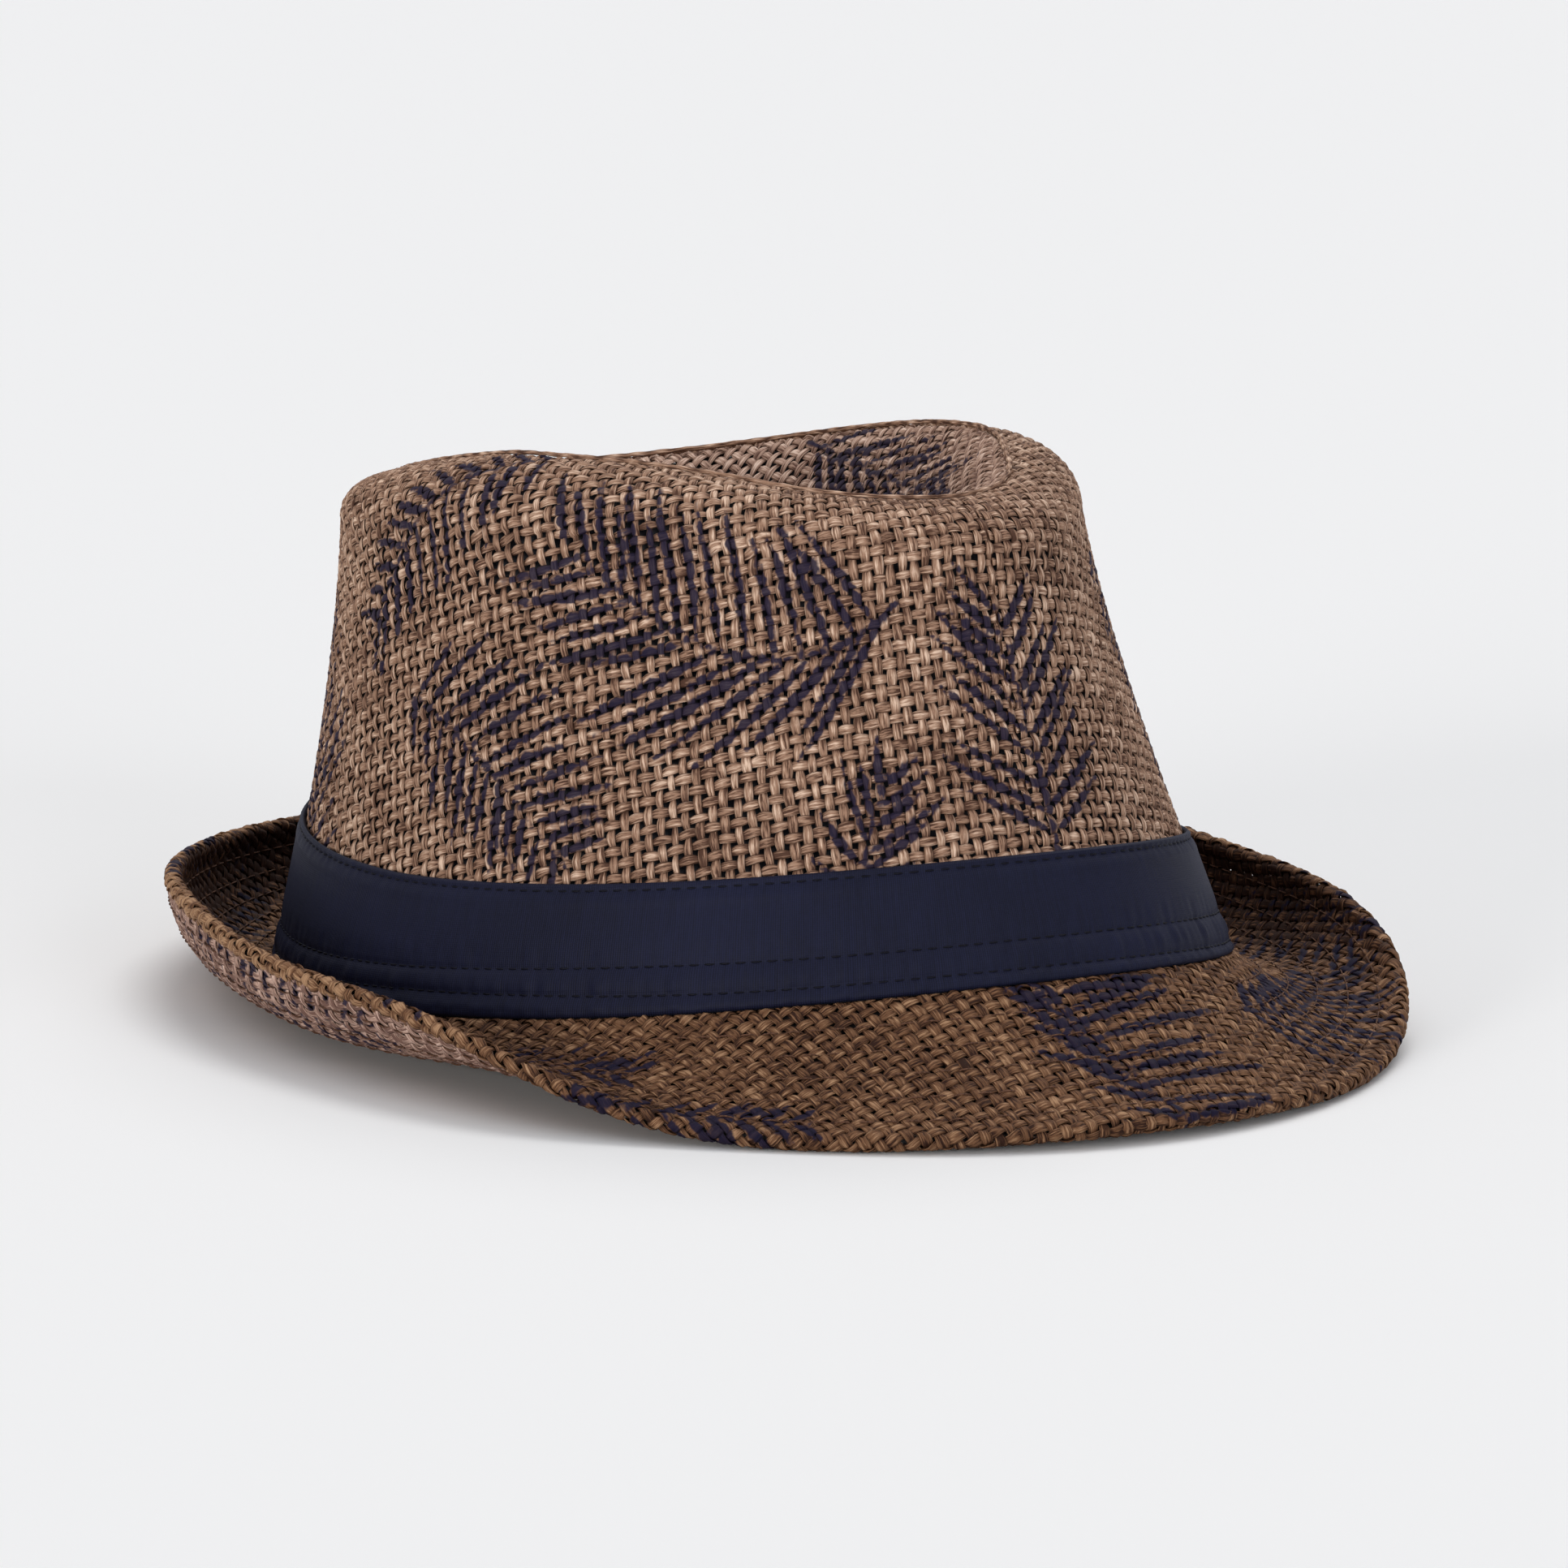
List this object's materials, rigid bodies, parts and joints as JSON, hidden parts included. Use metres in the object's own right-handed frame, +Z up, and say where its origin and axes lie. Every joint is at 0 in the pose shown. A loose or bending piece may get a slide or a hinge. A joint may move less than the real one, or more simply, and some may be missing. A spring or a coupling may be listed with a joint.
{
  "type": "fedora hat",
  "caption": "Short-brim fedora of woven straw: creased crown with a front pinch, snapped brim with a stitched edge, cloth hatband and inner sweatband.",
  "frame": {"origin": "middle of the hat's outline in plan, on the table that the hat rests on", "axes": "+Z up from the table, -Y towards the front of the hat, +X towards the wearer's left"},
  "size_m": [0.2252, 0.2618, 0.1122],
  "materials": {
    "straw": "woven paper straw, matt, printed navy",
    "straw_under": "woven paper straw, matt",
    "hatband_cloth": "fine ribbed cloth, matt",
    "thread": "polyester thread",
    "navy_thread": "polyester thread",
    "sweatband_cloth": "cotton twill",
    "interlining": "stiffened non-woven, dark",
    "tape": "woven seam tape",
    "wire": "spring wire",
    "lining": "thin polyester lining, dark navy"
  },
  "bodies": {
    "root": {"crown_side": "straw", "crown_tip": "straw", "crown_tip_seam_thread": "thread", "crown_back_seam_tape": "tape", "crown_lining": "lining", "brim_upper_ply": "straw", "brim_lower_ply": "straw_under", "brim_interlining": "interlining", "brim_edge_wire": "wire", "brim_topstitching": "thread", "headline_overlock_thread": "thread", "sweatband": "sweatband_cloth", "sweatband_stitching": "navy_thread", "sweatband_join_tape": "tape", "hatband": "hatband_cloth", "hatband_top_stitching": "navy_thread", "hatband_lower_stitching": "navy_thread", "hatband_lap_stitching": "navy_thread"}
  },
  "joints": []
}
